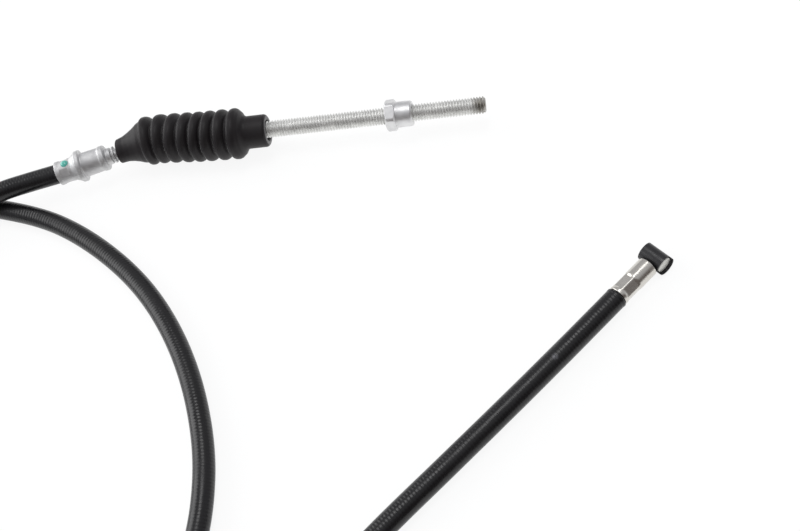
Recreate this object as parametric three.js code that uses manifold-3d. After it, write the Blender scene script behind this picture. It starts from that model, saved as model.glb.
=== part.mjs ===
// Rear drum-brake cable with a threaded pull rod, a bellows boot and a barrel nipple.
// Millimetres, +Z up. The cable lies on the plane z = 0, and +X runs along the pull rod
// towards its free tip. The origin is below the middle of the fittings.

import * as THREE from "three";
import { mergeVertices } from "three/addons/utils/BufferGeometryUtils.js";
import Module from "manifold-3d";

const wasm = await Module();
wasm.setup();

// Clearances between neighbouring pieces
const GAP = 0.3;
const TUBE_GAP = 0.25;

// Inner wire and the casing's layers, from the inside out
const WIRE_RADIUS = 0.95;
const LINER_WALL = 0.3;
const CONDUIT_WALL = 0.55;
const SHEATH_WALL = 0.6;
const CORE_SIDES = 8;
const SHEATH_SIDES = 12;
const CASING_STEPS = 60;

// Pull rod with an M6 thread, and its crimped socket for the wire inside the boot
const ROD_RADIUS = 2.95;
const ROD_TIP_CHAMFER = 0.7;
const ROD_OUTSIDE_BOOT = 76.6;
const ROD_INSIDE_BOOT = 22;
const ROD_Y = 34;
const SOCKET_WALL = 1.25;
const SOCKET_LENGTH = 12;
const SOCKET_TAPER = 0.6;
const SOCKET_FLOOR = 1;

// Adjusting nut, its hexagon towards the boot
const NUT_FROM_BOOT = 42.15;
const NUT_ACROSS_FLATS = 10;
const NUT_HEX_LENGTH = 3.6;
const NUT_COLLAR_WALL = 1.25;
const NUT_COLLAR_LENGTH = 5.7;
const NUT_CHAMFER = 0.4;
const NUT_CORNER_CUT = 0.25;
const NUT_TURN = 24.5;

// Rubber boot, its collar on the rod and its neck on the rear ferrule
const BOOT_END_X = -26;
const BOOT_WALL = 1.1;
const COLLAR_WALL = 2.8;
const COLLAR_LENGTH = 8.15;
const COLLAR_CHAMFER = 0.3;
const COLLAR_MOUTH = 0.6;
const RING_COUNT = 8;
const RING_RADIUS = 9;
const RING_PITCH = 4.67;
const RING_FLANK = 3;
const VALLEY_DEPTH = 1.7;
const CONE_LENGTH = 5.3;
const CONE_STEP = 0.45;
const NECK_WALL = 1.2;
const NECK_LENGTH = 4.7;
const BOOT_BEND_RADIUS = 50;
const BOOT_BULGE = 1.3;
const BOOT_BULGE_START = 20;
const BOOT_BULGE_PLACE = 43;
const BOOT_SIDES = 24;

// Rear ferrule, from its mouth towards the boot; its axis is turned off the rod's
const CORNER_FROM_BOOT_END = 44.9;
const FERRULE_TURN = 15.6;
const MOUTH_FROM_CORNER = 33.85;
const SHEATH_IN_FERRULE = 5.2;
const CONDUIT_IN_FERRULE = 13;
const MOUTH_WALL = 0.57;
const MOUTH_ROUNDING = 0.2;
const CRIMP_LENGTH = 6;
const FLARE_LENGTH = 2;
const FLARE_RADIUS = 5.4;
const FLANGE_RADIUS = 5.75;
const FLANGE_LENGTH = 1.5;
const BODY_RADIUS = 4.35;
const BODY_LENGTH = 7.2;
const BEAD_HEIGHT = 0.17;
const BEAD_LENGTH = 2.1;
const NOSE_RADIUS = 2.95;
const NOSE_LENGTH = 1.7;
const GROOVE_RADIUS = 2.1;
const GROOVE_LENGTH = 0.6;
const SNAP_RING_LENGTH = 0.9;
const BARB_LENGTH = 4;
const DENT_COUNT = 4;
const DENT_SIZE = 2.8;
const DENT_DEPTH = 0.25;
const DENT_FROM_MOUTH = 3.25;
const DENT_TURN = 46;

// Front ferrule, from the sheath's lip towards the nipple
const LIP_X = 87.6;
const LIP_Y = -40.5;
const FRONT_TURN = 43.7;
const CONDUIT_IN_FRONT = 9;
const FRONT_LENGTH = 14;
const FRONT_WALL = 0.53;
const FRONT_RIM = 0.3;
const FRONT_CRIMP_START = 1.9;
const FRONT_CRIMP_LENGTH = 5;
const FRONT_CRIMP_DEPTH = 0.27;
const FRONT_CRIMP_TURN = 30;

// Barrel nipple across the wire's end, in its plastic sleeve
const NIPPLE_RADIUS = 2.4;
const NIPPLE_RECESS = 1.3;
const WIRE_PAST_NIPPLE_AXIS = 1.2;
const SLEEVE_WALL = 0.4;
const SLEEVE_LENGTH = 9.4;
const SLEEVE_CUT_TURN = 23;
const SLEEVE_SLOT_WALL = 0.4;

const ROUND_SIDES = 24;
const degrees = THREE.MathUtils.degToRad;

// The radius whose polygon of so many sides leaves the wanted space at its flats.
function clearOfFlats(radius, sides) {
  return radius / Math.cos(Math.PI / sides);
}

const LINER_BORE = clearOfFlats(WIRE_RADIUS + TUBE_GAP, CORE_SIDES);
const LINER_RADIUS = LINER_BORE + LINER_WALL;
const CONDUIT_BORE = clearOfFlats(LINER_RADIUS + TUBE_GAP, CORE_SIDES);
const CONDUIT_RADIUS = CONDUIT_BORE + CONDUIT_WALL;
const SHEATH_BORE = clearOfFlats(CONDUIT_RADIUS + TUBE_GAP, SHEATH_SIDES);
const SHEATH_RADIUS = SHEATH_BORE + SHEATH_WALL;
const WIRE_HOLE = clearOfFlats(WIRE_RADIUS + GAP, ROUND_SIDES);
const CONDUIT_HOLE = clearOfFlats(CONDUIT_RADIUS + TUBE_GAP, ROUND_SIDES);
const SHEATH_HOLE = clearOfFlats(SHEATH_RADIUS + TUBE_GAP, ROUND_SIDES);
const ROD_HOLE = ROD_RADIUS + GAP;
const NIPPLE_HOLE = NIPPLE_RADIUS + TUBE_GAP;
const SLEEVE_RADIUS = NIPPLE_HOLE + SLEEVE_WALL;
const FRONT_RADIUS = CONDUIT_HOLE + FRONT_WALL;
const FRONT_END = GAP + FRONT_LENGTH;
const NIPPLE_FROM_LIP = FRONT_END + GAP + SLEEVE_RADIUS;
const ROD_HEIGHT = RING_RADIUS;

// The cable's route between the rear ferrule's mouth and the front lip, point by point. It
// leaves to the left, passes over its own last turn in a low hump, and lies in two loose turns.
const CABLE_ROUTE = [
  [-114, 22, 9.7],
  [-123, 18.9, 10.6],
  [-132, 14.4, 11.2],
  [-142, 7.6, 10.9],
  [-151, -2.5, 9.2],
  [-158, -15.5, 6.7],
  [-162.5, -32, 4.6],
  [-165, -52, 3.6],
  [-165.5, -73, 3.5],
  [-163.5, -94, 3.5],
  [-157.5, -116, 3.5],
  [-146, -136, 3.5],
  [-129, -151, 3.5],
  [-108, -158.5, 3.5],
  [-86, -157.5, 3.5],
  [-66, -149, 3.5],
  [-50.5, -133, 3.5],
  [-41.8, -112, 3.5],
  [-40.4, -89, 3.5],
  [-44.9, -65.7, 3.5],
  [-54, -43.3, 3.5],
  [-67, -23.4, 3.5],
  [-84, -6.4, 3.5],
  [-103.5, 7, 3.5],
  [-122.5, 14.6, 3.5],
  [-138.5, 18.2, 3.5],
  [-155, 17.4, 3.5],
  [-171, 10.8, 3.5],
  [-184, -1.5, 3.5],
  [-193, -18.5, 3.5],
  [-197.5, -39, 3.5],
  [-198.5, -61, 3.5],
  [-197, -85, 3.5],
  [-191.5, -109, 3.5],
  [-181.5, -132, 3.5],
  [-166, -152.5, 3.5],
  [-145.5, -168.5, 3.5],
  [-121, -178, 3.5],
  [-94.5, -180.5, 3.5],
  [-67.5, -175.5, 3.5],
  [-42, -162.5, 3.5],
  [-20, -144, 3.5],
  [-2.5, -126, 3.5],
  [14.3, -109.1, 3.5],
  [34, -90.9, 3.5],
  [53.8, -72.6, 3.5],
  [70.8, -56.6, 3.5],
];

const LIP_HEIGHT = CABLE_ROUTE.at(-1)[2];

// Materials, as the real pieces look
function finish(color, metalness, roughness) {
  return new THREE.MeshStandardMaterial({ color, metalness, roughness });
}
const BLACK_PVC = finish(0x232226, 0, 0.42);
const BLACK_RUBBER = finish(0x343234, 0, 0.78);
const BLACK_NYLON = finish(0x2c2b2e, 0, 0.5);
const WHITE_NYLON = finish(0xe6e4dc, 0, 0.4);
const ZINC_PLATE = finish(0xb9babb, 1, 0.38);
const NICKEL_PLATE = finish(0xa9a7a2, 1, 0.16);
const SPRING_STEEL = finish(0x8b8c8e, 1, 0.35);
const DIE_CAST_ZINC = finish(0xcfcfcb, 1, 0.45);

// Closed solids as three.js geometry and as solids that can be joined and cut
function toSolid(geometry) {
  const bare = geometry.clone();
  bare.deleteAttribute("normal");
  bare.deleteAttribute("uv");
  const merged = mergeVertices(bare, 1e-4);
  const mesh = new wasm.Mesh({
    numProp: 3,
    vertProperties: merged.attributes.position.array,
    triVerts: merged.index.array,
  });
  return new wasm.Manifold(mesh);
}

function toGeometry(solid) {
  const mesh = solid.getMesh();
  const geometry = new THREE.BufferGeometry();
  geometry.setAttribute("position", new THREE.BufferAttribute(mesh.vertProperties, 3));
  geometry.setIndex(new THREE.BufferAttribute(mesh.triVerts, 1));
  geometry.computeVertexNormals();
  return geometry;
}

// A turned piece along +X: its profile is a closed loop of [x, radius] points, or one that
// starts and ends on the axis, with the outside run through in the direction of +X.
function turned(profile, sides = ROUND_SIDES) {
  const points = profile.map(([x, radius]) => new THREE.Vector2(radius, x));
  return new THREE.LatheGeometry(points, sides).rotateZ(-Math.PI / 2);
}

function ring(start, end, outer, inner) {
  return turned([
    [start, inner],
    [start, outer],
    [end, outer],
    [end, inner],
    [start, inner],
  ]);
}

function plug(start, end, radius) {
  return turned([
    [start, 0],
    [start, radius],
    [end, radius],
    [end, 0],
  ]);
}

// A hexagonal bar along +X, with its first corner turned by so many degrees about the axis.
function hexBar(start, end, acrossFlats, turn) {
  const corner = acrossFlats / 2 / Math.cos(Math.PI / 6);
  const corners = Array.from({ length: 6 }, (_, k) => {
    const angle = degrees(turn) + (k * Math.PI) / 3;
    return new THREE.Vector2(corner * Math.cos(angle), corner * Math.sin(angle));
  });
  const bar = new THREE.ExtrudeGeometry(new THREE.Shape(corners), {
    depth: end - start,
    bevelEnabled: false,
  });
  const alongX = new THREE.Matrix4().makeBasis(
    new THREE.Vector3(0, 1, 0),
    new THREE.Vector3(0, 0, 1),
    new THREE.Vector3(1, 0, 0),
  );
  return bar.applyMatrix4(alongX).translate(start, 0, 0);
}

// The bent axis that the boot and the wire share: straight along the rod, an arc, then
// straight along the rear ferrule. It is measured from the boot's end, away from the tip.
const ARC_ANGLE = degrees(FERRULE_TURN);
const ARC_START = CORNER_FROM_BOOT_END - BOOT_BEND_RADIUS * Math.tan(ARC_ANGLE / 2);
const ARC_LENGTH = BOOT_BEND_RADIUS * ARC_ANGLE;

function alongBoot(distance) {
  const before = Math.min(distance, ARC_START);
  const past = Math.max(distance - ARC_START - ARC_LENGTH, 0);
  const angle = (distance - before - past) / BOOT_BEND_RADIUS;
  const x = before + BOOT_BEND_RADIUS * Math.sin(angle) + past * Math.cos(angle);
  const y = BOOT_BEND_RADIUS * (1 - Math.cos(angle)) + past * Math.sin(angle);
  return {
    point: new THREE.Vector3(BOOT_END_X - x, ROD_Y - y, ROD_HEIGHT),
    side: new THREE.Vector3(Math.sin(angle), -Math.cos(angle), 0),
  };
}

// The bellows also bulge a little sideways, towards +Y, on their way to the neck.
function bentAlongBoot(geometry, neckStart) {
  const position = geometry.attributes.position;
  const { smoothstep } = THREE.MathUtils;
  for (let i = 0; i < position.count; i += 1) {
    const distance = position.getX(i);
    const out = smoothstep(distance, BOOT_BULGE_START, BOOT_BULGE_PLACE);
    const back = smoothstep(distance, BOOT_BULGE_PLACE, neckStart);
    const { point, side } = alongBoot(distance);
    point.addScaledVector(side, position.getY(i) - BOOT_BULGE * (out - back));
    position.setXYZ(i, point.x, point.y, point.z + position.getZ(i));
  }
  return geometry;
}

// A polyline through the stations that every layer of the cable shares, so that the layers
// stay concentric in the bends.
class StationCurve extends THREE.Curve {
  constructor(stations) {
    super();
    this.stations = stations;
  }

  getPointAt(u, target = new THREE.Vector3()) {
    const place = u * (this.stations.length - 1);
    const index = Math.min(Math.floor(place + 1e-9), this.stations.length - 2);
    return target.lerpVectors(this.stations[index], this.stations[index + 1], place - index);
  }

  getTangentAt(u, target = new THREE.Vector3()) {
    const last = this.stations.length - 1;
    const index = Math.round(u * last);
    const here = this.stations[index];
    const before = new THREE.Vector3();
    const after = new THREE.Vector3();
    if (index > 0) before.subVectors(here, this.stations[index - 1]).normalize();
    if (index < last) after.subVectors(this.stations[index + 1], here).normalize();
    return target.addVectors(before, after).normalize();
  }
}

function polygon(radius, sides) {
  return Array.from({ length: sides }, (_, k) => {
    const angle = (2 * Math.PI * k) / sides;
    return new THREE.Vector2(radius * Math.cos(angle), radius * Math.sin(angle));
  });
}

function tube(stations, radius, bore, sides) {
  const section = new THREE.Shape(polygon(radius, sides));
  if (bore > 0) section.holes.push(new THREE.Path(polygon(bore, sides)));
  return new THREE.ExtrudeGeometry(section, {
    steps: stations.length - 1,
    extrudePath: new StationCurve(stations),
  });
}

// The fittings' frames: x = 0 at the boot's end, at the corner of the rod's and the rear
// ferrule's axes, and at the sheath's front lip
function fittingFrame(x, y, z, turn) {
  const frame = new THREE.Group();
  frame.position.set(x, y, z);
  frame.rotation.z = degrees(turn);
  frame.updateMatrixWorld();
  return frame;
}

const rodFrame = fittingFrame(BOOT_END_X, ROD_Y, ROD_HEIGHT, 0);
const rearFrame = fittingFrame(
  BOOT_END_X - CORNER_FROM_BOOT_END,
  ROD_Y,
  ROD_HEIGHT,
  180 + FERRULE_TURN,
);
const frontFrame = fittingFrame(LIP_X, LIP_Y, LIP_HEIGHT, FRONT_TURN);

function inRear(fromMouth) {
  return rearFrame.localToWorld(new THREE.Vector3(MOUTH_FROM_CORNER - fromMouth, 0, 0));
}

function inFront(fromLip) {
  return frontFrame.localToWorld(new THREE.Vector3(fromLip, 0, 0));
}

// Stations along the casing, evenly spaced between its two ends. The layers share them.
function sheathStations() {
  const points = [
    inRear(0),
    ...CABLE_ROUTE.map((point) => new THREE.Vector3(...point)),
    inFront(0),
  ];
  const route = new THREE.CatmullRomCurve3(points, false, "centripetal");
  return [inRear(SHEATH_IN_FERRULE), ...route.getSpacedPoints(CASING_STEPS)];
}

const SHEATH_STATIONS = sheathStations();
const CONDUIT_STATIONS = [
  inRear(CONDUIT_IN_FERRULE),
  ...SHEATH_STATIONS,
  inFront(CONDUIT_IN_FRONT),
];

function outerSheath() {
  return tube(SHEATH_STATIONS, SHEATH_RADIUS, SHEATH_BORE, SHEATH_SIDES);
}

function spiralConduit() {
  return tube(CONDUIT_STATIONS, CONDUIT_RADIUS, CONDUIT_BORE, CORE_SIDES);
}

function innerLiner() {
  return tube(CONDUIT_STATIONS, LINER_RADIUS, LINER_BORE, CORE_SIDES);
}

function innerWire() {
  const wireStart = ROD_INSIDE_BOOT - SOCKET_LENGTH + SOCKET_FLOOR + GAP;
  const inBoot = [
    wireStart,
    ROD_INSIDE_BOOT,
    ARC_START,
    ARC_START + ARC_LENGTH / 2,
    ARC_START + ARC_LENGTH,
  ].map((distance) => alongBoot(distance).point);
  const inNipple = inFront(NIPPLE_FROM_LIP + WIRE_PAST_NIPPLE_AXIS);
  return tube([...inBoot, ...CONDUIT_STATIONS, inNipple], WIRE_RADIUS, 0, CORE_SIDES);
}

// The rear ferrule's outside from the mouth to the barb's tip, as [distance, radius] points.
function rearFerruleOutline() {
  const mouth = SHEATH_HOLE + MOUTH_WALL;
  const barbed = (NOSE_RADIUS + GROOVE_RADIUS) / 2;
  const points = [
    [0, mouth - MOUTH_ROUNDING],
    [MOUTH_ROUNDING, mouth],
  ];
  let place = MOUTH_ROUNDING;
  const go = (length, radius) => {
    place += length;
    points.push([place, radius]);
  };
  go(CRIMP_LENGTH - MOUTH_ROUNDING, mouth);
  go(FLARE_LENGTH, FLARE_RADIUS);
  go(0, FLANGE_RADIUS);
  go(FLANGE_LENGTH, FLANGE_RADIUS);
  go(0, BODY_RADIUS);
  go(BODY_LENGTH, BODY_RADIUS);
  go(BEAD_LENGTH / 4, BODY_RADIUS + BEAD_HEIGHT);
  go(BEAD_LENGTH / 2, BODY_RADIUS + BEAD_HEIGHT);
  go(BEAD_LENGTH / 4, BODY_RADIUS - BEAD_HEIGHT);
  go(0, NOSE_RADIUS);
  go(NOSE_LENGTH, NOSE_RADIUS);
  go(0, GROOVE_RADIUS);
  go(GROOVE_LENGTH, GROOVE_RADIUS);
  go(0, NOSE_RADIUS);
  go(SNAP_RING_LENGTH, NOSE_RADIUS);
  go(0, GROOVE_RADIUS);
  go(GROOVE_LENGTH, GROOVE_RADIUS);
  go(0, barbed);
  go(GROOVE_LENGTH, barbed);
  go(BARB_LENGTH / 2, NOSE_RADIUS);
  go(BARB_LENGTH / 2, barbed);
  return points;
}

function rearFerrule() {
  const outside = rearFerruleOutline();
  const tip = outside.at(-1)[0];
  const sheathStop = SHEATH_IN_FERRULE + GAP;
  const conduitStop = CONDUIT_IN_FERRULE + GAP;
  const inside = [
    [0, SHEATH_HOLE],
    [sheathStop, SHEATH_HOLE],
    [sheathStop, CONDUIT_HOLE],
    [conduitStop, CONDUIT_HOLE],
    [conduitStop, WIRE_HOLE],
    [tip, WIRE_HOLE],
  ];
  const loop = [...outside.reverse(), ...inside, outside[0]];
  const fromCorner = loop.map(([fromMouth, radius]) => [MOUTH_FROM_CORNER - fromMouth, radius]);
  let solid = toSolid(turned(fromCorner));
  const dentFloor = SHEATH_HOLE + MOUTH_WALL - DENT_DEPTH;
  for (let k = 0; k < DENT_COUNT; k += 1) {
    const dent = new THREE.BoxGeometry(DENT_SIZE, DENT_SIZE, DENT_SIZE)
      .translate(MOUTH_FROM_CORNER - DENT_FROM_MOUTH, 0, dentFloor + DENT_SIZE / 2)
      .rotateX(-degrees(DENT_TURN + (360 * k) / DENT_COUNT));
    solid = solid.subtract(toSolid(dent));
  }
  return toGeometry(solid);
}

// The boot's outside from the collar to the neck, as [distance, radius] points.
function bootOutline() {
  const collar = ROD_HOLE + COLLAR_WALL;
  const neck = NOSE_RADIUS + GAP + NECK_WALL;
  const shoulder = RING_RADIUS - VALLEY_DEPTH / 4;
  const valley = RING_RADIUS - VALLEY_DEPTH;
  const points = [
    [0, collar - COLLAR_CHAMFER],
    [COLLAR_CHAMFER, collar],
    [COLLAR_LENGTH, collar],
  ];
  const firstCrest = COLLAR_LENGTH + RING_FLANK;
  for (let k = 0; k < RING_COUNT; k += 1) {
    const crest = firstCrest + k * RING_PITCH;
    if (k > 0) points.push([crest - RING_PITCH / 2, valley]);
    points.push([crest - RING_PITCH / 6, shoulder]);
    points.push([crest, RING_RADIUS]);
    points.push([crest + RING_PITCH / 6, shoulder]);
  }
  const neckStart = points.at(-1)[0] + CONE_LENGTH;
  points.push([neckStart, neck + CONE_STEP]);
  points.push([neckStart + CONE_STEP, neck]);
  points.push([neckStart + CONE_STEP + NECK_LENGTH, neck]);
  return points;
}

function rubberBoot() {
  const outside = bootOutline();
  const neckEnd = outside.at(-1)[0];
  const neckStart = neckEnd - NECK_LENGTH;
  const neckHole = NOSE_RADIUS + GAP;
  const hollow = outside
    .filter(([distance]) => distance > COLLAR_LENGTH && distance < neckStart - CONE_STEP / 2)
    .map(([distance, radius]) => [distance, radius - BOOT_WALL]);
  const inside = [
    [neckEnd, neckHole],
    [neckStart, neckHole],
    ...hollow.reverse(),
    [COLLAR_LENGTH, ROD_HOLE],
    [COLLAR_MOUTH, ROD_HOLE],
    [0, ROD_HOLE + COLLAR_MOUTH],
  ];
  const boot = turned([...outside, ...inside, outside[0]], BOOT_SIDES);
  return bentAlongBoot(boot, neckStart);
}

function threadedRod() {
  const innerEnd = -ROD_INSIDE_BOOT;
  const holeEnd = innerEnd + SOCKET_LENGTH - SOCKET_FLOOR;
  const socketEnd = innerEnd + SOCKET_LENGTH;
  const socketRadius = WIRE_HOLE + SOCKET_WALL;
  return turned([
    [holeEnd, 0],
    [holeEnd, WIRE_HOLE],
    [innerEnd, WIRE_HOLE],
    [innerEnd, socketRadius],
    [socketEnd, socketRadius],
    [socketEnd + SOCKET_TAPER, ROD_RADIUS],
    [ROD_OUTSIDE_BOOT - ROD_TIP_CHAMFER, ROD_RADIUS],
    [ROD_OUTSIDE_BOOT, ROD_RADIUS - ROD_TIP_CHAMFER],
    [ROD_OUTSIDE_BOOT, 0],
  ]);
}

function adjustingNut() {
  const start = NUT_FROM_BOOT;
  const hexEnd = start + NUT_HEX_LENGTH;
  const end = hexEnd + NUT_COLLAR_LENGTH;
  const corner = clearOfFlats(NUT_ACROSS_FLATS / 2, 6) - NUT_CORNER_CUT;
  const collarRadius = ROD_HOLE + NUT_COLLAR_WALL;
  const outline = turned([
    [start, 0],
    [start, corner - NUT_CHAMFER],
    [start + NUT_CHAMFER, corner],
    [hexEnd - NUT_CHAMFER, corner],
    [hexEnd, corner - NUT_CHAMFER],
    [hexEnd, collarRadius],
    [end - NUT_CHAMFER, collarRadius],
    [end, collarRadius - NUT_CHAMFER],
    [end, 0],
  ]);
  const hex = toSolid(hexBar(start, end, NUT_ACROSS_FLATS, NUT_TURN));
  const hole = toSolid(plug(start - 1, end + 1, ROD_HOLE));
  return toGeometry(hex.intersect(toSolid(outline)).subtract(hole));
}

function frontFerrule() {
  const conduitStop = CONDUIT_IN_FRONT + GAP;
  const body = turned([
    [GAP, CONDUIT_HOLE],
    [GAP, FRONT_RADIUS],
    [FRONT_END - FRONT_RIM, FRONT_RADIUS],
    [FRONT_END, FRONT_RADIUS - FRONT_RIM],
    [FRONT_END, WIRE_HOLE],
    [conduitStop, WIRE_HOLE],
    [conduitStop, CONDUIT_HOLE],
    [GAP, CONDUIT_HOLE],
  ]);
  const start = FRONT_CRIMP_START;
  const end = start + FRONT_CRIMP_LENGTH;
  const flats = 2 * (FRONT_RADIUS - FRONT_CRIMP_DEPTH);
  const around = toSolid(plug(start, end, 2 * FRONT_RADIUS));
  const crimp = around.subtract(toSolid(hexBar(start - 1, end + 1, flats, FRONT_CRIMP_TURN)));
  return toGeometry(toSolid(body).subtract(crimp));
}

// The nipple and its sleeve lie across the front ferrule's axis, in the plane of the cable.
function acrossWire(geometry) {
  return geometry.rotateZ(-Math.PI / 2).translate(NIPPLE_FROM_LIP, 0, 0);
}

function barrelNipple() {
  const half = SLEEVE_LENGTH / 2 - NIPPLE_RECESS;
  const barrel = toSolid(acrossWire(plug(-half, half, NIPPLE_RADIUS)));
  const holeStart = NIPPLE_FROM_LIP - 2 * NIPPLE_RADIUS;
  const holeEnd = NIPPLE_FROM_LIP + WIRE_PAST_NIPPLE_AXIS + GAP;
  return toGeometry(barrel.subtract(toSolid(plug(holeStart, holeEnd, WIRE_HOLE))));
}

// The sleeve is open to the wire, and its outer end is cut back to the nipple on one side.
function nippleSleeve() {
  const half = SLEEVE_LENGTH / 2;
  const sleeve = toSolid(acrossWire(ring(-half, half, SLEEVE_RADIUS, NIPPLE_HOLE)));
  const cut = new THREE.BoxGeometry(2 * NIPPLE_RECESS, 4 * SLEEVE_RADIUS, 2 * SLEEVE_RADIUS)
    .translate(half, 0, SLEEVE_RADIUS)
    .rotateX(degrees(SLEEVE_CUT_TURN));
  const holeStart = NIPPLE_FROM_LIP - 2 * SLEEVE_RADIUS;
  const slot = plug(holeStart, NIPPLE_FROM_LIP, WIRE_HOLE + SLEEVE_SLOT_WALL);
  return toGeometry(sleeve.subtract(toSolid(slot)).subtract(toSolid(acrossWire(cut))));
}

function piece(name, geometry, material) {
  const mesh = new THREE.Mesh(geometry, material);
  mesh.name = name;
  return mesh;
}

rodFrame.add(
  piece("threaded_rod", threadedRod(), ZINC_PLATE),
  piece("adjusting_nut", adjustingNut(), ZINC_PLATE),
);
rearFrame.add(piece("rear_ferrule", rearFerrule(), ZINC_PLATE));
frontFrame.add(
  piece("front_ferrule", frontFerrule(), NICKEL_PLATE),
  piece("barrel_nipple", barrelNipple(), DIE_CAST_ZINC),
  piece("nipple_sleeve", nippleSleeve(), BLACK_NYLON),
);

const cable = new THREE.Group();
cable.add(
  piece("outer_sheath", outerSheath(), BLACK_PVC),
  piece("spiral_conduit", spiralConduit(), SPRING_STEEL),
  piece("inner_liner", innerLiner(), WHITE_NYLON),
  piece("inner_wire", innerWire(), SPRING_STEEL),
  piece("rubber_boot", rubberBoot(), BLACK_RUBBER),
  rodFrame,
  rearFrame,
  frontFrame,
);

export default cable;
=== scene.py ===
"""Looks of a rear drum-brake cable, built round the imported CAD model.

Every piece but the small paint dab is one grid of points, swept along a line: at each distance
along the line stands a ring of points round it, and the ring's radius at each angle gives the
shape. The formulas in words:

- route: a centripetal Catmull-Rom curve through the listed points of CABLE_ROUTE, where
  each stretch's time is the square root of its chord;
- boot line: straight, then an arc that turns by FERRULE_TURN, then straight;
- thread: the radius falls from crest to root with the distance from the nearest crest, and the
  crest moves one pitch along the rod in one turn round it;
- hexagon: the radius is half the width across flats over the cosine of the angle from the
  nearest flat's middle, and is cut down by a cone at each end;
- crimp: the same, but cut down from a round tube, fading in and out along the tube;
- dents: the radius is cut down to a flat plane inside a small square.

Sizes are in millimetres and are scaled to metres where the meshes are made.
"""

import math

import bmesh
import bpy
import numpy as np
from mathutils import Matrix, Vector


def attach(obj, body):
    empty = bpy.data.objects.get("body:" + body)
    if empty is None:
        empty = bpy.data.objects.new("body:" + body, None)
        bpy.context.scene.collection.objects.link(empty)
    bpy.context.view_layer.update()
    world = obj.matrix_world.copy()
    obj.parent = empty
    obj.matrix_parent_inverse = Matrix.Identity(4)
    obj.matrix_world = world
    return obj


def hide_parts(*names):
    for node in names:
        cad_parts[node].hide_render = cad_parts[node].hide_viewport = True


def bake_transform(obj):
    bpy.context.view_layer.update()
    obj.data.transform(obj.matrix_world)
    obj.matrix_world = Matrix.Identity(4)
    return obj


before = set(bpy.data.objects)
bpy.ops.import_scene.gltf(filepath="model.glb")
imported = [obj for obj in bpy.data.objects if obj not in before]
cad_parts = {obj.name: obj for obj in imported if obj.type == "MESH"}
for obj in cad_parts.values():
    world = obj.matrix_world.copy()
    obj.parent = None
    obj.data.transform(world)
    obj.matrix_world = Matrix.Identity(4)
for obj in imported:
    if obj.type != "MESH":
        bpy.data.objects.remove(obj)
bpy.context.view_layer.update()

MM = 0.001

# Shared places, as in the CAD
BOOT_END = (-26.0, 34.0, 9.0)
CORNER_FROM_BOOT_END = 44.9
FERRULE_TURN = 15.6
MOUTH_FROM_CORNER = 33.85
LIP = (87.6, -40.5, 3.5)
FRONT_TURN = 43.7
NIPPLE_FROM_LIP = 17.65
ROD_RADIUS = 2.95
SHEATH_RADIUS = 3.5
SHEATH_BORE = 2.9
WIRE_RADIUS = 0.95
WIRE_HOLE = 1.25
SHEATH_IN_FERRULE = 5.2
BEND_RADIUS = 50.0

# Finish of the rod and the sheath
THREAD_PITCH = 1.0
THREAD_DEPTH = 0.56
PLAIN_ROD_RADIUS = 2.7
TIP_RADIUS = 2.25
RIB_SPACING_M = 0.0011
RIB_HEIGHT_M = 0.000016
SHARP_EDGE = 32.0
WELD_DISTANCE = 1e-7

# The cable's route between the rear ferrule's mouth and the front lip, as in the CAD
CABLE_ROUTE = [
    (-114, 22, 9.7), (-123, 18.9, 10.6), (-132, 14.4, 11.2), (-142, 7.6, 10.9),
    (-151, -2.5, 9.2), (-158, -15.5, 6.7), (-162.5, -32, 4.6), (-165, -52, 3.6),
    (-165.5, -73, 3.5), (-163.5, -94, 3.5), (-157.5, -116, 3.5), (-146, -136, 3.5),
    (-129, -151, 3.5), (-108, -158.5, 3.5), (-86, -157.5, 3.5), (-66, -149, 3.5),
    (-50.5, -133, 3.5), (-41.8, -112, 3.5), (-40.4, -89, 3.5), (-44.9, -65.7, 3.5),
    (-54, -43.3, 3.5), (-67, -23.4, 3.5), (-84, -6.4, 3.5), (-103.5, 7, 3.5),
    (-122.5, 14.6, 3.5), (-138.5, 18.2, 3.5), (-155, 17.4, 3.5), (-171, 10.8, 3.5),
    (-184, -1.5, 3.5), (-193, -18.5, 3.5), (-197.5, -39, 3.5), (-198.5, -61, 3.5),
    (-197, -85, 3.5), (-191.5, -109, 3.5), (-181.5, -132, 3.5), (-166, -152.5, 3.5),
    (-145.5, -168.5, 3.5), (-121, -178, 3.5), (-94.5, -180.5, 3.5), (-67.5, -175.5, 3.5),
    (-42, -162.5, 3.5), (-20, -144, 3.5), (-2.5, -126, 3.5), (14.3, -109.1, 3.5),
    (34, -90.9, 3.5), (53.8, -72.6, 3.5), (70.8, -56.6, 3.5),
]


# Lines that pieces are swept along

def straight(origin, turn):
    """A line from origin in the plane, turned by so many degrees from +X."""
    angle = math.radians(turn)
    along = np.array([math.cos(angle), math.sin(angle), 0.0])

    def at(distance):
        distance = np.asarray(distance, float)
        centre = np.array(origin, float) + distance[:, None] * along
        return centre, np.broadcast_to(along, centre.shape)

    return at


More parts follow.
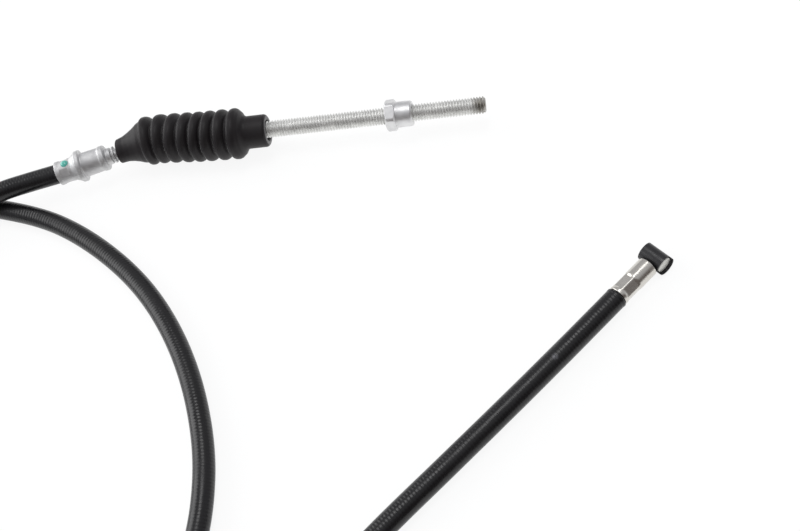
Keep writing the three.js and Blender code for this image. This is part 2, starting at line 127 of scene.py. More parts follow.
def boot_line(bulge=None):
    """The bent line through the boot, measured from its collar's end, away from the rod's tip.
    With bulge, its middle is moved sideways, towards +Y, by so much at each distance."""
    turn = math.radians(FERRULE_TURN)
    arc_start = CORNER_FROM_BOOT_END - BEND_RADIUS * math.tan(turn / 2)
    arc_length = BEND_RADIUS * turn

    def at(distance):
        distance = np.asarray(distance, float)
        before = np.minimum(distance, arc_start)
        past = np.maximum(distance - arc_start - arc_length, 0)
        angle = (distance - before - past) / BEND_RADIUS
        x = before + BEND_RADIUS * np.sin(angle) + past * np.cos(angle)
        y = BEND_RADIUS * (1 - np.cos(angle)) + past * np.sin(angle)
        flat = np.zeros_like(x)
        centre = np.array(BOOT_END) - np.stack([x, y, flat], 1)
        if bulge is not None:
            side = np.stack([-np.sin(angle), np.cos(angle), flat], 1)
            centre = centre + bulge(distance)[:, None] * side
        return centre, np.stack([-np.cos(angle), -np.sin(angle), flat], 1)

    return at


def catmull_rom(points, spacing=1.0):
    """Points about one spacing apart on the centripetal Catmull-Rom curve through points."""
    points = np.array(points, float)
    points = np.vstack([2 * points[0] - points[1], points, 2 * points[-1] - points[-2]])
    line = []
    for p0, p1, p2, p3 in zip(points, points[1:], points[2:], points[3:]):
        t0, t1, t2 = (math.sqrt(np.linalg.norm(b - a)) for a, b in ((p0, p1), (p1, p2), (p2, p3)))
        m1 = ((p1 - p0) / t0 - (p2 - p0) / (t0 + t1) + (p2 - p1) / t1) * t1
        m2 = ((p2 - p1) / t1 - (p3 - p1) / (t1 + t2) + (p3 - p2) / t2) * t1
        count = max(2, round(np.linalg.norm(p2 - p1) / spacing * 4))
        t = np.linspace(0, 1, count, endpoint=False)[:, None]
        line.append(
            p1 + m1 * t + (-3 * p1 + 3 * p2 - 2 * m1 - m2) * t**2
            + (2 * p1 - 2 * p2 + m1 + m2) * t**3
        )
    line = np.vstack([*line, points[-2:-1]])
    reach = np.concatenate([[0], np.cumsum(np.linalg.norm(np.diff(line, axis=0), axis=1))])
    even = np.linspace(0, reach[-1], round(reach[-1] / spacing) + 1)
    return np.stack([np.interp(even, reach, line[:, k]) for k in range(3)], 1)


def through(points):
    """A smooth line through closely spaced points."""
    points = np.asarray(points, float)
    reach = np.concatenate([[0], np.cumsum(np.linalg.norm(np.diff(points, axis=0), axis=1))])
    tangent = np.gradient(points, reach, axis=0)
    tangent /= np.linalg.norm(tangent, axis=1, keepdims=True)

    def at(distance):
        centre = np.stack([np.interp(distance, reach, points[:, k]) for k in range(3)], 1)
        along = np.stack([np.interp(distance, reach, tangent[:, k]) for k in range(3)], 1)
        return centre, along / np.linalg.norm(along, axis=1, keepdims=True)

    return at, reach[-1]


# Meshes

def add_mesh(name, corners, faces, uvs):
    """A smooth-shaded mesh object from its points in millimetres, its faces and their uvs.
    The points of a ring without radius are welded into one."""
    mesh = bpy.data.meshes.new(name)
    mesh.from_pydata((corners * MM).tolist(), [], faces.tolist())
    layer = mesh.uv_layers.new(name="around_along")
    layer.data.foreach_set("uv", uvs.astype(np.float32).ravel())
    welded = bmesh.new()
    welded.from_mesh(mesh)
    bmesh.ops.remove_doubles(welded, verts=welded.verts, dist=WELD_DISTANCE)
    welded.to_mesh(mesh)
    welded.free()
    mesh.shade_smooth()
    mesh.set_sharp_from_angle(angle=math.radians(SHARP_EDGE))
    obj = bpy.data.objects.new(name, mesh)
    bpy.context.scene.collection.objects.link(obj)
    return obj


def sweep(name, line, distance, radius, sides=48, closed=False, shift=None):
    """A solid swept along line: at each distance a ring with that radius, one for all angles
    or one for each. With closed, the last ring joins the first, as in a tube with a bore.
    With shift, each point is moved so far along the line."""
    distance = np.asarray(distance, float)
    radius = np.asarray(radius, float)
    if radius.ndim == 1:
        radius = np.repeat(radius[:, None], sides, 1)
    sides = radius.shape[1]
    rows = len(distance)
    centre, along = line(distance)
    level = np.array([0.0, 0.0, 1.0])
    across = np.cross(along, level)
    across /= np.linalg.norm(across, axis=1, keepdims=True)
    up = np.cross(across, along)
    angle = 2 * math.pi * np.arange(sides) / sides
    outward = (
        up[:, None, :] * np.cos(angle)[None, :, None]
        + across[:, None, :] * np.sin(angle)[None, :, None]
    )
    corners = centre[:, None, :] + radius[:, :, None] * outward
    if shift is not None:
        corners = corners + shift[:, :, None] * along[:, None, :]
    corners = corners.reshape(-1, 3)
    last = rows if closed else rows - 1
    i, j = np.meshgrid(np.arange(last), np.arange(sides), indexing="ij")
    i, j = i.ravel(), j.ravel()
    next_i, next_j = (i + 1) % rows, (j + 1) % sides
    faces = np.stack([i * sides + j, i * sides + next_j, next_i * sides + next_j,
                      next_i * sides + j], 1)
    u = np.stack([j, j + 1, j + 1, j], 1) / sides
    v = distance[np.stack([i, i, next_i, next_i], 1)] * MM
    return add_mesh(name, corners, faces, np.stack([u, v], 2).reshape(-1, 2))


def rounded(profile, size=0.15, steps=4):
    """The profile's [distance, radius] points with every corner rounded by about that size."""
    profile = np.array(profile, float)
    made = [profile[0]]
    for before, corner, after in zip(profile, profile[1:], profile[2:]):
        back, ahead = before - corner, after - corner
        reach = min(size, 0.45 * np.linalg.norm(back), 0.45 * np.linalg.norm(ahead))
        start = corner + back / np.linalg.norm(back) * reach
        end = corner + ahead / np.linalg.norm(ahead) * reach
        for t in np.linspace(0, 1, steps):
            made.append((1 - t) ** 2 * start + 2 * t * (1 - t) * corner + t**2 * end)
    made.append(profile[-1])
    return np.array(made)


def dense(profile, step):
    """The profile with extra points, so that none are further apart than step."""
    made = [profile[0]]
    for a, b in zip(profile, profile[1:]):
        count = max(1, math.ceil(np.linalg.norm(b - a) / step))
        made.extend(a + (b - a) * k / count for k in range(1, count + 1))
    return np.array(made)


def smooth_step(value, low, high):
    """0 up to low, 1 from high on, and a smooth cubic in between."""
    t = np.clip((value - low) / (high - low), 0, 1)
    return t * t * (3 - 2 * t)


# Materials

def srgb(code, alpha=1.0):
    """A hex colour as Blender's linear colour."""
    parts = [int(code[k:k + 2], 16) / 255 for k in (0, 2, 4)]
    linear = [p / 12.92 if p <= 0.04045 else ((p + 0.055) / 1.055) ** 2.4 for p in parts]
    return (*linear, alpha)


def add_node(tree, kind, settings=None, values=None):
    """Adds a node with its settings, and sets or links its inputs."""
    node = tree.nodes.new(kind)
    for key, value in (settings or {}).items():
        setattr(node, key, value)
    for key, value in (values or {}).items():
        if isinstance(value, bpy.types.NodeSocket):
            tree.links.new(value, node.inputs[key])
        else:
            node.inputs[key].default_value = value
    return node


def new_material(name, **values):
    """A Principled material with those inputs, its tree and its shader node."""
    material = bpy.data.materials.new(name)
    material.use_nodes = True
    tree = material.node_tree
    shader = tree.nodes["Principled BSDF"]
    for key, value in values.items():
        shader.inputs[key.replace("_", " ")].default_value = value
    return material, tree, shader


def uneven(tree, coordinates, scale, low, high, detail=4.0):
    """A noise between low and high, as a number."""
    noise = add_node(tree, "ShaderNodeTexNoise", {},
                     {"Vector": coordinates, "Scale": scale, "Detail": detail})
    spread = add_node(tree, "ShaderNodeMapRange", {},
                      {"Value": noise.outputs["Fac"], "From Min": 0.3, "From Max": 0.7,
                       "To Min": low, "To Max": high})
    return spread.outputs["Result"]


def tinted(tree, fraction, dark, light):
    """A mix of two colours by a fraction."""
    mix = add_node(tree, "ShaderNodeMix", {"data_type": "RGBA"},
                   {"Factor": fraction, "A": dark, "B": light})
    return mix.outputs["Result"]


def object_coordinates(tree):
    """Places on a piece, in metres."""
    return add_node(tree, "ShaderNodeTexCoord").outputs["Object"]


def black_pvc():
    """Extruded PVC with a semi-gloss skin: faint uneven ribs across it from the conduit below,
    and one small pale scuff near the front end."""
    material, tree, shader = new_material("black_pvc", Specular_IOR_Level=0.45,
                                          Sheen_Weight=0.22, Sheen_Roughness=0.3)
    place = object_coordinates(tree)
    uv = add_node(tree, "ShaderNodeUVMap", {"uv_map": "around_along"})
    parts = add_node(tree, "ShaderNodeSeparateXYZ", {}, {"Vector": uv.outputs["UV"]})
    ribs = add_node(tree, "ShaderNodeMath", {"operation": "SINE"}, {
        0: add_node(tree, "ShaderNodeMath", {"operation": "MULTIPLY"},
                    {0: parts.outputs["Y"],
                     1: 2 * math.pi / RIB_SPACING_M}).outputs[0]})
    wobble = uneven(tree, place, 260.0, -1.6, 1.6, 2.0)
    height = add_node(tree, "ShaderNodeMath", {"operation": "ADD"},
                      {0: ribs.outputs[0], 1: wobble})
    bump = add_node(tree, "ShaderNodeBump", {},
                    {"Strength": 1.0, "Distance": RIB_HEIGHT_M, "Height": height.outputs[0]})
    tree.links.new(bump.outputs["Normal"], shader.inputs["Normal"])
    tree.links.new(uneven(tree, place, 120.0, 0.24, 0.36), shader.inputs["Roughness"])
    from_scuff = add_node(tree, "ShaderNodeVectorMath", {"operation": "DISTANCE"},
                          {0: place, 1: (0.0676, -0.0602, 0.0068)})
    near = add_node(tree, "ShaderNodeMapRange", {},
                    {"Value": from_scuff.outputs["Value"], "From Min": 0.0013,
                     "From Max": 0.0004})
    scuff = add_node(tree, "ShaderNodeMath", {"operation": "MULTIPLY"},
                     {0: near.outputs["Result"], 1: uneven(tree, place, 1500.0, 0.0, 1.0)})
    tree.links.new(tinted(tree, scuff.outputs[0], srgb("0f0e11"), srgb("6e6d73")),
                   shader.inputs["Base Color"])
    return material


def black_rubber():
    """Moulded rubber, matt, with a light bloom of dust; the collar's end face is painted paler, a
    painted highlight for the light falling on that face.
    """
    material, tree, shader = new_material("black_rubber", Roughness=0.48,
                                          Specular_IOR_Level=0.3, Sheen_Weight=0.4,
                                          Sheen_Roughness=0.2)
    place = object_coordinates(tree)
    bloom = uneven(tree, place, 90.0, 0.0, 1.0)
    skin = tinted(tree, bloom, srgb("161214"), srgb("201c1e"))
    x = add_node(tree, "ShaderNodeSeparateXYZ", {}, {"Vector": place}).outputs["X"]
    # Painted light: the collar's end face, past x = -26.05 mm, gets a pale colour for the lamps
    # falling on it.
    painted_lit_end_face = add_node(tree, "ShaderNodeMapRange", {},
                       {"Value": x, "From Min": -0.02615, "From Max": -0.02605})
    tree.links.new(tinted(tree, painted_lit_end_face.outputs["Result"], skin, srgb("6f6d6e")),
                   shader.inputs["Base Color"])
    bump = add_node(tree, "ShaderNodeBump", {}, {
        "Strength": 0.25, "Distance": 0.00004, "Height": uneven(tree, place, 900.0, 0.0, 1.0)})
    tree.links.new(bump.outputs["Normal"], shader.inputs["Normal"])
    return material


def black_nylon():
    """Moulded nylon with a soft sheen."""
    material, tree, shader = new_material("black_nylon", Base_Color=srgb("1e1d20"))
    tree.links.new(uneven(tree, object_coordinates(tree), 500.0, 0.3, 0.42),
                   shader.inputs["Roughness"])
    return material


def white_nylon():
    """Extruded natural nylon."""
    return new_material("white_nylon", Base_Color=srgb("e6e4dc"), Roughness=0.4)[0]


def zinc_plate(name, dark, light, smooth, rough):
    """Zinc-plated turned steel: satin, with faint cloudy spots between two greys, and a
    roughness between two values."""
    material, tree, shader = new_material(name, Metallic=1.0)
    place = object_coordinates(tree)
    clouds = uneven(tree, place, 420.0, 0.0, 1.0)
    tree.links.new(tinted(tree, clouds, srgb(dark), srgb(light)), shader.inputs["Base Color"])
    tree.links.new(uneven(tree, place, 700.0, smooth, rough), shader.inputs["Roughness"])
    return material


def rolled_thread():
    """Zinc-plated rolled thread, with some dirt in the last turns at the tip."""
    material, tree, shader = new_material("rolled_thread", Metallic=1.0, Roughness=0.5)
    place = object_coordinates(tree)
    x = add_node(tree, "ShaderNodeSeparateXYZ", {}, {"Vector": place}).outputs["X"]
    near_tip = add_node(tree, "ShaderNodeMapRange", {},
                        {"Value": x, "From Min": 0.0455, "From Max": 0.0485})
    dirt = add_node(tree, "ShaderNodeMath", {"operation": "MULTIPLY"},
                    {0: near_tip.outputs["Result"], 1: uneven(tree, place, 500.0, 0.2, 1.0)})
    clean = tinted(tree, uneven(tree, place, 300.0, 0.0, 1.0), srgb("dededc"), srgb("efefed"))
    tree.links.new(tinted(tree, dirt.outputs[0], clean, srgb("6c6353")),
                   shader.inputs["Base Color"])
    return material


def nickel_plate():
    """Bright nickel on drawn steel: mirror-like, with faint streaks along it."""
    material, tree, shader = new_material("nickel_plate", Base_Color=srgb("d2cfc9"),
                                          Metallic=1.0)
    tree.links.new(uneven(tree, object_coordinates(tree), 350.0, 0.2, 0.32),
                   shader.inputs["Roughness"])
    return material


def spring_steel():
    """Drawn spring steel, lightly oiled: a darker and softer shine than the plating's."""
    return new_material("spring_steel", Base_Color=srgb("8b8c8e"), Metallic=1.0,
                        Roughness=0.35)[0]


def die_cast_zinc():
    """Die-cast zinc alloy: dull and pale."""
    material, tree, shader = new_material("die_cast_zinc", Base_Color=srgb("d6d5d0"),
                                          Metallic=0.6)
    tree.links.new(uneven(tree, object_coordinates(tree), 600.0, 0.42, 0.58),
                   shader.inputs["Roughness"])
    return material


def marking_paint():
    """A drop of blue-green marking paint, wet-looking."""
    return new_material("marking_paint", Base_Color=srgb("5dbfb0"), Roughness=0.14,
                        Coat_Weight=0.6, Coat_Roughness=0.05)[0]


def light_table():
    """The opal sheet that the cable lies on, lit from below: it glows, and keeps faint
    shadows."""
    material, tree, shader = new_material("opal_sheet", Base_Color=(0.93, 0.93, 0.93, 1.0),
                                          Roughness=0.9, Specular_IOR_Level=0.1)
    glow = add_node(tree, "ShaderNodeEmission", {}, {"Color": (1, 1, 1, 1), "Strength": 1.05})
    both = add_node(tree, "ShaderNodeMixShader", {},
                    {0: 0.85, 1: shader.outputs[0], 2: glow.outputs[0]})
    tree.links.new(both.outputs[0], tree.nodes["Material Output"].inputs["Surface"])
    return material


MATERIALS = {
    "black_pvc": black_pvc(),
    "black_rubber": black_rubber(),
    "black_nylon": black_nylon(),
    "white_nylon": white_nylon(),
    "zinc_plate": zinc_plate("zinc_plate", "d8d8d9", "e8e8e8", 0.38, 0.5),
    # Greyer and more matt than the nut
    "dull_zinc": zinc_plate("dull_zinc_plate", "c8c8c9", "d8d8d8", 0.48, 0.6),
    "rolled_thread": rolled_thread(),
    "nickel_plate": nickel_plate(),
    "spring_steel": spring_steel(),
    "die_cast_zinc": die_cast_zinc(),
    "marking_paint": marking_paint(),
}


def finish_piece(obj, material):
    """Gives a piece its material."""
    obj.data.materials.clear()
    obj.data.materials.append(MATERIALS[material])


# Lines of this cable

ROD_LINE = straight(BOOT_END, 0)
CORNER = np.array(BOOT_END) - np.array([CORNER_FROM_BOOT_END, 0, 0])
BACK = np.array([-math.cos(math.radians(FERRULE_TURN)), -math.sin(math.radians(FERRULE_TURN)), 0])
MOUTH = CORNER + BACK * MOUTH_FROM_CORNER
FROM_MOUTH = straight(MOUTH, FERRULE_TURN)
FROM_LIP = straight(LIP, FRONT_TURN)
BOOT_LINE = boot_line()


def bellows_bulge(distance):
    """The bellows' sideways offset, in millimetres, between listed places."""
    return np.interp(distance, [0, 9, 14, 18, 24, 28, 33, 38, 43, 46, 50, 55],
                     [-0.35, -0.35, -0.25, -0.05, 0.1, 0.4, 0.8, 1.15, 1.35, 1.3, 0.9, 0.65])


def outer_sheath():
    """The casing's skin: a plain tube, with a slightly flared and rounded front lip."""
    free = catmull_rom([MOUTH, *CABLE_ROUTE, LIP])
    inside = MOUTH - BACK * SHEATH_IN_FERRULE
    points = np.vstack([inside, free])
    line, length = through(points)
    body = np.arange(0.0, length - 3.0, 1.0)
    end = np.array([
        (length - 3.0, SHEATH_RADIUS), (length - 1.2, SHEATH_RADIUS), (length - 0.6, 3.58),
        (length - 0.15, 3.58), (length, 3.45), (length, 3.1), (length - 1.0, SHEATH_BORE),
    ])
    tail = rounded(end, 0.12)
    bore = np.arange(length - 4.0, 2.0, -4.0)
    distance = np.concatenate([[1.0, 0.0], body, tail[:, 0], bore])
    radius = np.concatenate([[SHEATH_BORE, SHEATH_BORE], np.full(len(body), SHEATH_RADIUS),
                             tail[:, 1], np.full(len(bore), SHEATH_BORE)])
    sheath = sweep("sheath", line, distance, radius, 40, closed=True)
    finish_piece(sheath, "black_pvc")
    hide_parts("outer_sheath")
    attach(sheath, "casing")
    return sheath, points


def rear_ferrule():
    """The rear ferrule: crimped mouth with four square dents, flange, body, bead and barb."""
    outside = [
        (1.0, 3.72), (0.0, 3.72), (0.0, 4.1), (0.2, 4.3), (1.2, 4.3), (1.6, 4.22), (5.8, 4.22),
        (7.6, 5.25), (8.0, 5.72), (9.5, 5.75), (9.7, 4.4), (16.2, 4.3), (16.7, 4.55),
        (18.1, 4.55), (18.5, 4.2), (18.7, 3.05), (20.4, 2.95), (20.4, 1.8), (21.1, 1.8),
        (21.1, 3.0), (21.7, 3.0), (21.7, 1.8), (22.6, 1.8), (22.6, 2.5), (23.2, 2.5),
        (25.2, 2.9), (27.2, 2.2), (27.2, WIRE_HOLE), (13.3, WIRE_HOLE),
        (13.3, SHEATH_BORE), (5.5, SHEATH_BORE),
        (5.5, 3.72),
    ]
    profile = dense(rounded(outside, 0.22), 0.25)
    distance = profile[:, 0]
    sides = 96
    angle = 2 * math.pi * np.arange(sides) / sides
    radius = np.repeat(profile[:, 1][:, None], sides, 1)
    dent_radius, dent_place, half, edge = 3.93, 3.25, 1.4, 0.25
    for turn in (46, 136, 226, 316):
        off = (angle - math.radians(turn) + math.pi) % (2 * math.pi) - math.pi
        flat = dent_radius / np.maximum(np.cos(off), 0.2)
        beside = smooth_step(half + edge - np.abs(4.2 * off), 0, edge)
        along = smooth_step(half + edge - np.abs(distance - dent_place), 0, edge)
        depth = np.maximum(radius - flat[None, :], 0) * beside[None, :] * along[:, None]
        depth[profile[:, 1] < 4.0] = 0
        radius = radius - depth
    ferrule = sweep("rear_ferrule_turned", FROM_MOUTH, distance, radius, closed=True)
    finish_piece(ferrule, "dull_zinc")
    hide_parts("rear_ferrule")
    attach(ferrule, "casing")


def paint_dab():
    """A round drop on the rear ferrule's crimp: half an ellipsoid over rings from its top to
    its rim, closed by one point inside the ferrule."""
    ring, sides = 12, 32
    reach = np.append(np.linspace(0, 1, ring - 1), 0)[:, None]
    angle = 2 * math.pi * np.arange(sides)[None, :] / sides
    along = 4.1 + 1.45 * reach * np.cos(angle)
    beside = 1.4 * reach * np.sin(angle)
    height = 4.2 + 0.85 * np.sqrt(1 - reach**2) + 0 * angle - 0.1 * reach
    height[-1] = 3.9
    turn = beside / 4.3
    up = np.array([0.0, 0.0, 1.0])
    across = np.cross(-BACK, up)
    corners = (
        MOUTH - BACK * along[..., None]
        + up * (height * np.cos(turn))[..., None]
        + across * (height * np.sin(turn))[..., None]
    ).reshape(-1, 3)
    i, j = np.meshgrid(np.arange(ring - 1), np.arange(sides), indexing="ij")
    i, j = i.ravel(), j.ravel()
    next_j = (j + 1) % sides
    faces = np.stack([i * sides + j, i * sides + next_j, (i + 1) * sides + next_j,
                      (i + 1) * sides + j], 1)
    uvs = np.stack([np.stack([j, j + 1, j + 1, j], 1) / sides,
                    np.stack([i, i, i + 1, i + 1], 1) / ring], 2)
    dab = add_mesh("paint_dab", corners, faces, uvs.reshape(-1, 2))
    dab.data.materials.append(MATERIALS["marking_paint"])
    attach(dab, "casing")


def rubber_boot():
    """The bellows: rounded rings with narrow valleys, a collar on the rod and a waisted neck.
    Each ring leans: its points move along the line by a share of how far they lie to the
    side, the lean times the radius times the sine of the angle."""
    places = [11.4, 16.2, 20.9, 25.1, 29.4, 34.2, 39.05, 43.8]
    usual_gap = 4.67
    crests = [(place, 9.0 - 0.04 * k) for k, place in enumerate(places)]
    outside = [(0.0, 3.9), (0.0, 5.0), (0.75, 5.75), (7.4, 5.75), (8.3, 6.2), (9.2, 7.7)]
    for k, (place, crest) in enumerate(crests):
        if k > 0:
            outside.append(((places[k - 1] + place) / 2, 7.1))
        near = min(1.0, (place - places[max(k - 1, 0)]) / usual_gap) if k else 1.0
        far = (places[k + 1] - place) / usual_gap if k < len(places) - 1 else 1.0
        outside.extend([
            (place - 1.75 * near, crest - 1.0), (place - 1.1 * near, crest - 0.35),
            (place - 0.3, crest), (place + 0.8 * far, crest - 0.05),
            (place + 1.4 * far, crest - 0.4), (place + 1.75 * far, crest - 1.1),
        ])
    outside.extend([(46.9, 7.2), (48.8, 6.1), (50.8, 5.2), (52.8, 4.55), (55.2, 4.3),
                    (55.45, 4.1), (55.45, 3.2), (54.4, 3.2), (50.9, 3.2), (49.0, 5.0)])
    inside = [(place, crest - 1.6) for place, crest in reversed(crests)]
    outline = [*outside, *inside, (8.6, 3.3), (0.6, 3.3), (0.0, 3.9)]
    profile = rounded(outline, 0.38, 5)
    distance, sides = profile[:-1, 0], 72
    lean = np.interp(distance, [9, 12, 18, 24, 34, 39, 44, 49, 55],
                     [0.0, 0.04, 0.07, 0.1, 0.1, 0.06, -0.02, 0.08, 0.12])
    angle = 2 * math.pi * np.arange(sides) / sides
    shift = -lean[:, None] * profile[:-1, 1][:, None] * np.sin(angle)[None, :]
    boot = sweep("bellows_boot", boot_line(bellows_bulge), distance, profile[:-1, 1], sides,
                 closed=True, shift=shift)
    finish_piece(boot, "black_rubber")
    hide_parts("rubber_boot")
    end, _ = BOOT_LINE(np.array([48.0]))
    start, _ = BOOT_LINE(np.array([8.0]))
    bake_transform(boot)


def threaded_rod():
    """The pull rod: rolled thread with a 1 mm pitch, chamfered tip and plain crimped socket."""
    tip, sides = 76.6, 48
    thread = np.arange(-4.0, tip, THREAD_PITCH / 12)
    distance = np.concatenate([[-11.0, -11.0, -22.0, -22.0, -10.0, -9.4, -5.0], thread,
                               [tip, tip]])
    plain = np.concatenate([
        [0.0, WIRE_HOLE, WIRE_HOLE, 2.5, 2.5, PLAIN_ROD_RADIUS, PLAIN_ROD_RADIUS],
        np.full(len(thread), ROD_RADIUS), [TIP_RADIUS, 0.0]])
    angle = 2 * math.pi * np.arange(sides) / sides
    turns = distance[:, None] / THREAD_PITCH - angle[None, :] / (2 * math.pi)
    from_crest = np.abs((turns + 0.5) % 1.0 - 0.5) * 2
    cut = THREAD_DEPTH * smooth_step(from_crest, 0.12, 0.92)
    fade = smooth_step(distance, -4.0, -2.5)[:, None]
    radius = np.repeat(plain[:, None], sides, 1)
    threaded = slice(len(distance) - len(thread) - 2, len(distance) - 2)
    radius[threaded] -= (cut * fade)[threaded]
    chamfer = TIP_RADIUS + tip - distance[threaded, None]
    radius[threaded] = np.minimum(radius[threaded], chamfer)
    run_out = PLAIN_ROD_RADIUS + (ROD_RADIUS - PLAIN_ROD_RADIUS) * fade[threaded]
    radius[threaded] = np.minimum(radius[threaded], run_out)
    rod = sweep("threaded_pull_rod", ROD_LINE, distance, radius)
    finish_piece(rod, "rolled_thread")
    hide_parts("threaded_rod")
    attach(rod, "pull_rod")


def adjusting_nut():
    """The nut: a chamfered hexagon with a round collar, bored through."""
    start, hex_length, sides = 42.15, 3.6, 144
    across_flats, turn = 10.0, 84.5
    angle = 2 * math.pi * np.arange(sides) / sides
    off = (angle - math.radians(turn) + math.pi / 6) % (math.pi / 3) - math.pi / 6
    hexagon = across_flats / 2 / np.cos(off)
    outside = [(1.0, 2.6), (0.0, 3.3), (0.0, 4.7), (0.55, 5.5), (hex_length - 0.5, 5.5),
               (hex_length, 4.9), (hex_length, 4.45), (8.8, 4.4), (9.3, 4.0), (9.3, 3.3),
               (8.4, 2.6)]
    profile = dense(rounded(outside, 0.12), 0.12)
    radius = np.repeat(profile[:, 1][:, None], sides, 1)
    radius = np.minimum(radius, hexagon[None, :])
    nut = sweep("adjusting_nut_turned", ROD_LINE, start + profile[:, 0], radius,
                closed=True)
    finish_piece(nut, "zinc_plate")
    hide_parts("adjusting_nut")
    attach(nut, "adjuster")


def front_ferrule():
    """The front ferrule: a bright cap with a six-sided crimp near the sheath's lip, where the
    radius is cut down to a hexagon, fading in and out along it."""
    outside = [(1.0, 2.85), (0.3, 2.85), (0.3, 3.2), (0.5, 3.35), (14.1, 3.35), (14.3, 3.1),
               (14.3, WIRE_HOLE), (13.3, WIRE_HOLE), (13.3, 2.85)]
    profile = dense(rounded(outside, 0.15), 0.2)
    distance, sides = profile[:, 0], 120
    angle = 2 * math.pi * np.arange(sides) / sides
    off = (angle - math.radians(8)) % (math.pi / 3) - math.pi / 6
    flat = 3.0 / np.cos(off)
    fade = smooth_step(distance, 1.2, 2.2) * (1 - smooth_step(distance, 6.6, 7.6))
    radius = np.repeat(profile[:, 1][:, None], sides, 1)
    cut = np.maximum(radius - flat[None, :], 0) * fade[:, None]
    cut[profile[:, 1] < 3.3] = 0
    ferrule = sweep("front_ferrule_crimped", FROM_LIP, distance, radius - cut, closed=True)
    finish_piece(ferrule, "nickel_plate")
    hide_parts("front_ferrule")
    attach(ferrule, "casing")
    return ferrule


def nipple_and_sleeve():
    """The barrel nipple across the wire's end, and the plastic sleeve round it."""
    turn = math.radians(FRONT_TURN)
    middle = np.array(LIP) + NIPPLE_FROM_LIP * np.array([math.cos(turn), math.sin(turn), 0])
    line = straight(middle, FRONT_TURN - 90)
    barrel = rounded([(-3.4, 0.0), (-3.4, 2.6), (3.6, 2.6), (3.6, 0.0)], 0.12)
    nipple = sweep("cast_nipple", line, barrel[:, 0], barrel[:, 1], 64)
    finish_piece(nipple, "die_cast_zinc")
    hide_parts("barrel_nipple")
    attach(nipple, "lever_nipple")
    tube = rounded([(3.0, 2.65), (-4.35, 2.65), (-4.45, 2.75), (-4.45, 2.95), (-4.35, 3.05),
                    (4.55, 3.05), (4.65, 2.95), (4.65, 2.7), (4.55, 2.65), (3.0, 2.65)], 0.08)
    distance, sides = tube[:-1, 0], 64
    angle = 2 * math.pi * np.arange(sides) / sides
    open_side = smooth_step(np.cos(angle - math.radians(23)), -0.1, 0.15)
    cut_back = 1.35 * (np.clip(distance - 3.0, 0, None) / 1.65)[:, None] * open_side[None, :]
    sleeve = sweep("nylon_sleeve", line, distance, tube[:-1, 1], sides, closed=True,
                   shift=-cut_back)
    finish_piece(sleeve, "black_nylon")
    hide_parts("nipple_sleeve")
    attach(sleeve, "lever_nipple")
    return nipple, sleeve


def wires():
    """The wire's two ends, one at the rod and one at the nipple."""
    back_end, _ = BOOT_LINE(np.array([11.5, 22.0, 30.0, 38.0, 41.5, 45.0, 48.5, 51.7]))
    in_ferrule = MOUTH - BACK * np.array([[27.0], [20.0], [12.0], [6.0]])
    points = np.vstack([back_end, in_ferrule])
    line, length = through(catmull_rom(points))
    places = np.arange(0, length, 1.0)
    rear = sweep("rear_wire", line, [0.0, *places, length, length],
                 [0.0, *np.full(len(places) + 1, WIRE_RADIUS), 0.0], 16)
    finish_piece(rear, "spring_steel")
    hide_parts("inner_wire")
    near, _ = BOOT_LINE(np.array([23.0]))
    far, _ = BOOT_LINE(np.array([50.0]))
    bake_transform(rear)
    places = [4.0, *np.arange(4.0, 18.9, 0.5), 18.9, 18.9]
    radii = [0.0, *np.full(len(places) - 2, WIRE_RADIUS), 0.0]
    front = sweep("front_wire", FROM_LIP, places, radii, 16)
    finish_piece(front, "spring_steel")
    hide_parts("inner_wire")
    ends, _ = FROM_LIP(np.array([6.0, 15.0]))
    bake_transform(front)


def add_camera():
    """The photo's camera: a 50 mm lens on a 36 mm sensor."""
    data = bpy.data.cameras.new("photo_camera")
    data.lens = 50.0
    data.sensor_width = 36.0
    data.clip_start = 0.01
    data.clip_end = 20.0
    camera = bpy.data.objects.new("photo_camera", data)
    bpy.context.scene.collection.objects.link(camera)
    right = Vector((0.983, 0.001, -0.186)).normalized()
    back = Vector((0.163, -0.489, 0.857)).normalized()
    up = back.cross(right).normalized()
    right = up.cross(back)
    camera.matrix_world = Matrix.Translation(Vector((78.6, -198.2, 311.5)) * MM) @ Matrix(
        (right, up, back)).transposed().to_4x4()
    bpy.context.scene.camera = camera


def add_light(name, place, target, width, height, power):
    """A softbox at place that faces target."""
    data = bpy.data.lights.new(name, "AREA")
    data.shape = "RECTANGLE"
    data.size = width
    data.size_y = height
    data.energy = power
    light = bpy.data.objects.new(name, data)
    bpy.context.scene.collection.objects.link(light)
    light.location = place
    light.rotation_mode = "QUATERNION"
    aim = Vector(target) - Vector(place)
    light.rotation_quaternion = aim.to_track_quat("-Z", "Y")
    return light


def toward(tree, direction, low, high):
    """How much a ray of the world points in direction: 0 at that cosine low, 1 at high."""
    ray = add_node(tree, "ShaderNodeTexCoord").outputs["Generated"]
    cosine = add_node(tree, "ShaderNodeVectorMath", {"operation": "DOT_PRODUCT"},
                      {0: ray, 1: direction})
    part = add_node(tree, "ShaderNodeMapRange", {"interpolation_type": "SMOOTHSTEP"},
                    {"Value": cosine.outputs["Value"], "From Min": low, "From Max": high})
    return part.outputs["Result"]


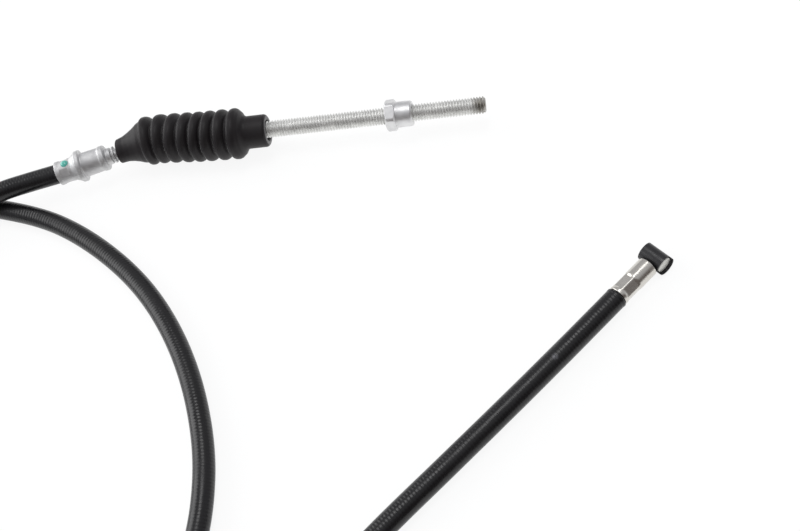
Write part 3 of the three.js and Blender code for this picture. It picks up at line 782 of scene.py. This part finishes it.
def add_room():
    """A pale room with a dark side behind the camera, and white where the camera sees it."""
    world = bpy.data.worlds.new("pale_room")
    world.use_nodes = True
    tree = world.node_tree
    tree.nodes.clear()
    ray = add_node(tree, "ShaderNodeLightPath")
    dark_side = toward(tree, (0.5, -0.85, 0.0), 0.35, 0.75)
    colour = tinted(tree, dark_side, (0.52, 0.52, 0.535, 1), (0.13, 0.112, 0.105, 1))
    mirrored = add_node(tree, "ShaderNodeBackground", {}, {"Color": colour, "Strength": 1.0})
    room = add_node(tree, "ShaderNodeBackground", {}, {"Color": (0.9, 0.92, 0.95, 1),
                                                      "Strength": 0.55})
    seen = add_node(tree, "ShaderNodeBackground", {}, {"Color": (1, 1, 1, 1), "Strength": 1.0})
    glossy = add_node(tree, "ShaderNodeMixShader", {}, {
        0: ray.outputs["Is Glossy Ray"], 1: room.outputs[0], 2: mirrored.outputs[0]})
    mixed = add_node(tree, "ShaderNodeMixShader", {}, {
        0: ray.outputs["Is Camera Ray"], 1: glossy.outputs[0], 2: seen.outputs[0]})
    add_node(tree, "ShaderNodeOutputWorld", {}, {"Surface": mixed.outputs[0]})
    bpy.context.scene.world = world


def add_studio():
    """A glowing white table and soft lamps in a pale room."""
    size, level = 1200.0, -0.02
    corners = np.array([[-size, -size, level], [size, -size, level], [size, size, level],
                        [-size, size, level]])
    floor = add_mesh("light_table", corners, np.array([[0, 1, 2, 3]]), np.zeros((4, 2)))
    floor.data.materials.append(light_table())
    add_light("top_softbox", (0.04, 0.22, 0.97), (0, 0, 0), 0.38, 0.38, 1.9)
    add_light("left_softbox", (-1.4, 0.4, 0.7), (0, 0, 0), 1.5, 1.2, 15.0)
    add_room()


def build():
    sheath, points = outer_sheath()
    rear_ferrule()
    paint_dab()
    rubber_boot()
    threaded_rod()
    adjusting_nut()
    ferrule = front_ferrule()
    nipple, sleeve = nipple_and_sleeve()
    wires()
    hidden = {"spiral_conduit": "spring_steel", "inner_liner": "white_nylon"}
    for node, material in hidden.items():
        finish_piece(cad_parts[node], material)


build()
add_camera()
add_studio()
bpy.context.scene.view_settings.view_transform = "Standard"
